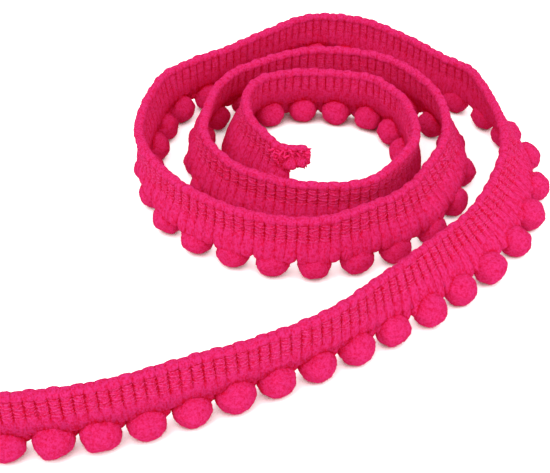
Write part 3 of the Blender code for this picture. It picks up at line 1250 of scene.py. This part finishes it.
@dataclass
class TornEnd:
    """The loose yarn where the trim was torn off, at its inner end."""

    sizes: TrimSizes
    path: TrimPath
    material: bpy.types.Material
    strands: int = 200
    steps: int = 7
    sides: int = 5
    radius: float = 0.20 * MM
    length: float = 1.1 * MM
    seed: int = 21
    taper: float = 0.55
    hook: float = 0.45
    upward: tuple[float, float, float] = (0.0, 0.3, 0.95)

    def _world(self, place: np.ndarray) -> np.ndarray:
        """World places of rows of distance, out and up, also of those before the trim's start."""
        s = np.maximum(place[:, 0], 0.0)
        world = self.path.point(s, place[:, 2], place[:, 1])
        before = np.minimum(place[:, 0], 0.0)
        world[:, :2] += self.path.heading(np.zeros(1)) * before[:, None]
        return world

    @staticmethod
    def _drawn(rng: random.Random, spans: Sequence[float | tuple[float, float]]) -> np.ndarray:
        """Fixed values as they are, and a random value for each range."""
        return np.array([rng.uniform(*span) if isinstance(span, tuple) else span for span in spans])

    def _strand(self, rng: random.Random) -> np.ndarray:
        """Straight places of one curled strand's middle line, from its root on."""
        flap = self.sizes.flap_length / MM
        hem = self.sizes.flap_bottom / MM
        top = self.sizes.braid_top / MM
        middle = 0.5 * (hem + top)
        groups = (
            # share so far; the root's distance, out and up in mm; the way's distance, out and up
            (0.3, (0.4, (-0.5, 0.5), (hem + 1.0, top - 0.4)), (-1.0, (-0.6, 0.6), (-0.6, 0.5))),
            (0.65, ((0.2, flap + 1.5), 0.5, (middle - 0.8, middle + 1.4)), ((-1.2, 0.8), 0.5, (-0.8, 0.8))),
            (0.8, ((0.6, flap), (-0.5, 0.5), hem + 1.0), ((-0.8, 0.4), (-0.6, 0.6), -1.0)),
            (1.0, (flap, (-0.5, 0.5), (0.6, hem)), (-1.0, (-0.6, 0.6), (-0.7, 0.5))),
        )
        pick = rng.random()
        _, root_spans, way_spans = next(group for group in groups if pick < group[0])
        root = self._drawn(rng, root_spans) * MM
        way = self._drawn(rng, way_spans)
        way /= np.linalg.norm(way)
        side = self._drawn(rng, ((-1.0, 1.0),) * 3)
        side -= way * float(side @ way)
        side /= np.linalg.norm(side)
        t = np.linspace(0.0, 1.0, self.steps)[:, None]
        reach = self.length * rng.uniform(0.5, 1.0)
        return root + way * t * reach + side * reach * self.hook * np.sin(t * rng.uniform(1.5, 3.4)) * t

    def build(self) -> bpy.types.Object:
        """Build the loose strands.

        Returns:
            All the strands as one mesh.
        """
        rng = random.Random(self.seed)
        points: list[np.ndarray] = []
        faces: list[tuple[int, ...]] = []
        angles = 2 * math.pi * np.arange(self.sides) / self.sides
        for _ in range(self.strands):
            line = self._strand(rng)
            middle = self._world(line)
            ahead = np.gradient(middle, axis=0)
            ahead /= np.linalg.norm(ahead, axis=1)[:, None]
            right = np.cross(ahead, self.upward)
            right /= np.linalg.norm(right, axis=1)[:, None]
            above = np.cross(ahead, right)
            size = self.radius * (1.0 - self.taper * np.linspace(0.0, 1.0, self.steps) ** 2)
            rings = (middle[:, None, :]
                     + (size[:, None] * np.cos(angles))[..., None] * right[:, None, :]
                     + (size[:, None] * np.sin(angles))[..., None] * above[:, None, :])
            faces += tube_faces(self.steps, self.sides, sum(len(rows) for rows in points))
            points.append(np.vstack([middle[0][None], rings.reshape(-1, 3), middle[-1][None]]))
        thing = mesh_object("torn_end", np.vstack(points), faces)
        thing.data.materials.append(self.material)
        return thing


@dataclass
class Fuzz:
    """Short loose fibres that stand off the yarn."""

    name: str
    density: float
    length: float
    thickness: float
    tilt: float
    seed: int
    shortest: float = 0.45
    longest: float = 1.15
    floor_gap: float = 0.02 * MM

    def grow(self, base: bpy.types.Object) -> bpy.types.Object:
        """Scatter the fibres over a piece.

        Args:
            base: The piece that they stand on.

        Returns:
            The fibres as one mesh.
        """
        near, wide = 0.5 * self.thickness, 0.87 * self.thickness
        corners = np.array([[self.thickness, 0.0, 0.0], [-near, wide, 0.0], [-near, -wide, 0.0],
                            [0.0, 0.0, self.length]])
        needle = mesh_object("fibre_module", corners, [(0, 2, 1), (0, 1, 3), (1, 2, 3), (2, 0, 3)])
        shape = NodeShape(self.name, {
            "Fibre": needle,
            "Density": self.density,
            "Tilt": self.tilt,
            "Seed": self.seed,
            "Material": base.data.materials[0],
        })
        graph = shape.graph
        spread = graph.add("GeometryNodeDistributePointsOnFaces", {
            "Mesh": shape.given("Geometry"), "Density": shape.given("Density"), "Seed": shape.given("Seed"),
        })
        tilt = shape.given("Tilt")
        back = graph.math("MULTIPLY", tilt, -1.0)
        lean = graph.random(graph.join(back, back, -math.pi), graph.join(tilt, tilt, math.pi),
                            shape.given("Seed"), "FLOAT_VECTOR")
        turned = graph.add("FunctionNodeRotateRotation", {
            "Rotation": graph.out(spread, "Rotation"),
            "Rotate By": graph.add("FunctionNodeEulerToRotation", {0: lean}),
        }, rotation_space="LOCAL")
        next_seed = graph.math("ADD", shape.given("Seed"), 1.0)
        size = graph.random(self.shortest, self.longest, next_seed)
        fibre = graph.out(graph.add("GeometryNodeObjectInfo", {"Object": shape.given("Fibre")}), "Geometry")
        placed = graph.add("GeometryNodeInstanceOnPoints", {
            "Points": graph.out(spread, "Points"), "Instance": fibre, "Rotation": turned, "Scale": size,
        })
        real = graph.add("GeometryNodeRealizeInstances", {"Geometry": placed})
        shape.finish(shape.rested(real, self.floor_gap))
        thing = shape.grow(base.data.copy())
        drop([needle])
        return thing


@dataclass(frozen=True)
class Lamp:
    """A square area light that faces the trim."""

    name: str
    place: tuple[float, float, float]
    size: float
    power: float

    def build(self) -> None:
        """Put the lamp in the scene."""
        light = bpy.data.lights.new(self.name, "AREA")
        light.shape = "SQUARE"
        light.size = self.size
        light.energy = self.power
        lamp = link(bpy.data.objects.new(self.name, light))
        lamp.location = self.place
        lamp.rotation_euler = Vector(self.place).to_track_quat("Z", "Y").to_euler()


LAMPS = (
    Lamp("key", (-0.20, -0.22, 0.55), 0.40, 1.45),
    Lamp("fill", (0.45, -0.45, 0.35), 0.5, 0.95),
)


@dataclass
class Studio:
    """The white floor with its painted contact shadows, the soft lights and the camera."""

    coil_middle: tuple[float, float]
    camera_height: float = 95.0 * MM
    camera_from_coil: tuple[float, float] = (-6.0 * MM, -118.0 * MM)
    camera_down: float = math.radians(42.0)
    focal_pixels: float = 960.0
    picture_width: float = 550.0
    sensor_width: float = 36.0
    world_strength: float = 0.79
    floor_size: float = 3.0
    floor_roughness: float = 0.8
    floor_specular: float = 0.1
    floor_glow: float = 0.75
    floor_color: tuple[float, float, float] = (0.93, 0.93, 0.93)
    # Painted contact shadows on the floor: their colour, and the ambient occlusion reach and range that place
    # them
    shadow_color: tuple[float, float, float] = (0.55, 0.03, 0.12)
    shadow_reach: float = 3.5 * MM
    shadow_range: tuple[float, float] = (0.12, 0.52)

    def _floor(self) -> None:
        """A white floor under the trim, with painted contact shadows: near the trim, ambient occlusion tints it
        crimson-mauve and dims its glow.
        """
        half = 0.5 * self.floor_size
        floor = mesh_object("floor", np.array([[-half, -half, 0.0], [half, -half, 0.0], [half, half, 0.0],
                                               [-half, half, 0.0]]), [(0, 1, 2, 3)])
        material = bpy.data.materials.new("white_floor")
        material.use_nodes = True
        graph = Graph(material.node_tree)
        seen = graph.out(graph.add("ShaderNodeLightPath"), "Is Camera Ray")
        # Painted contact shadow: where ambient occlusion finds the trim close by, the floor takes the shadow
        # colour and loses its glow
        near = graph.add("ShaderNodeAmbientOcclusion", {"Distance": self.shadow_reach}, samples=8)
        open_sky = graph.ramp(graph.out(near, "AO"), *self.shadow_range)
        tint = graph.add("ShaderNodeMix", {
            "Factor": open_sky, "A": (*self.shadow_color, 1.0), "B": (*self.floor_color, 1.0),
        }, data_type="RGBA")
        glow = graph.math("MULTIPLY", graph.math("MULTIPLY", seen, open_sky), self.floor_glow)
        graph.fill(material.node_tree.nodes["Principled BSDF"], {
            "Base Color": graph.out(tint, "Result"),
            "Roughness": self.floor_roughness,
            "Specular IOR Level": self.floor_specular,
            "Emission Color": (1.0, 1.0, 1.0, 1.0),
            "Emission Strength": glow,
        })
        floor.data.materials.append(material)

    def _camera(self) -> None:
        """The camera, at the photograph's angle."""
        data = bpy.data.cameras.new("camera")
        data.sensor_width = self.sensor_width
        data.lens = self.focal_pixels * self.sensor_width / self.picture_width
        data.clip_start = 0.01
        camera = link(bpy.data.objects.new("camera", data))
        camera.location = (self.camera_from_coil[0] + self.coil_middle[0],
                           self.camera_from_coil[1] + self.coil_middle[1], self.camera_height)
        camera.rotation_euler = (0.5 * math.pi - self.camera_down, 0.0, 0.0)
        bpy.context.scene.camera = camera

    def build(self) -> None:
        """Set up the floor, the lights, the world and the camera."""
        self._floor()
        for lamp in LAMPS:
            lamp.build()
        world = bpy.data.worlds.new("studio")
        bpy.context.scene.world = world
        world.use_nodes = True
        sky = world.node_tree.nodes["Background"]
        sky.inputs["Color"].default_value = (1.0, 1.0, 1.0, 1.0)
        graph = Graph(world.node_tree)
        seen = graph.out(graph.add("ShaderNodeLightPath"), "Is Camera Ray")
        backdrop = graph.math("MULTIPLY", seen, 1.0 - self.world_strength)
        graph.feed(sky.inputs["Strength"], graph.math("ADD", backdrop, self.world_strength))
        bpy.context.scene.view_settings.view_transform = "Standard"
        self._camera()


def fasten(things: Sequence[bpy.types.Object]) -> None:
    """Make the pieces ride on the trim's body and log their triangle counts."""
    for thing in things:
        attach(thing, BODY)
        triangles = sum(len(face.vertices) - 2 for face in thing.data.polygons)
        LOG.info("%s: %d triangles", thing.name, triangles)


def main() -> None:
    """Build the trim's pieces in order, then the studio round it."""
    logging.basicConfig(level=logging.INFO, format="%(name)s: %(message)s")
    sizes = TrimSizes()
    path = TrimPath(sizes)
    guide = path.guide()
    braid = RibbedBraid(sizes, path, guide).build()
    pompoms = PompomRow(sizes, path, guide).build()
    braid_fuzz = Fuzz("rib_fuzz", density=2.9e6, length=0.26 * MM, thickness=0.024 * MM,
                      tilt=1.1, seed=3).grow(braid[0])
    pompom_fuzz = Fuzz("pompom_fuzz", density=7.0e6, length=0.26 * MM, thickness=0.022 * MM,
                       tilt=0.9, seed=7).grow(pompoms[0])
    torn_end = TornEnd(sizes, path, LOOSE_FINISH.material()).build()
    fasten([*braid, braid_fuzz, torn_end])
    fasten([*pompoms, pompom_fuzz])
    drop([guide])
    Studio(path.coil_middle).build()


if __name__ == "__main__":
    main()
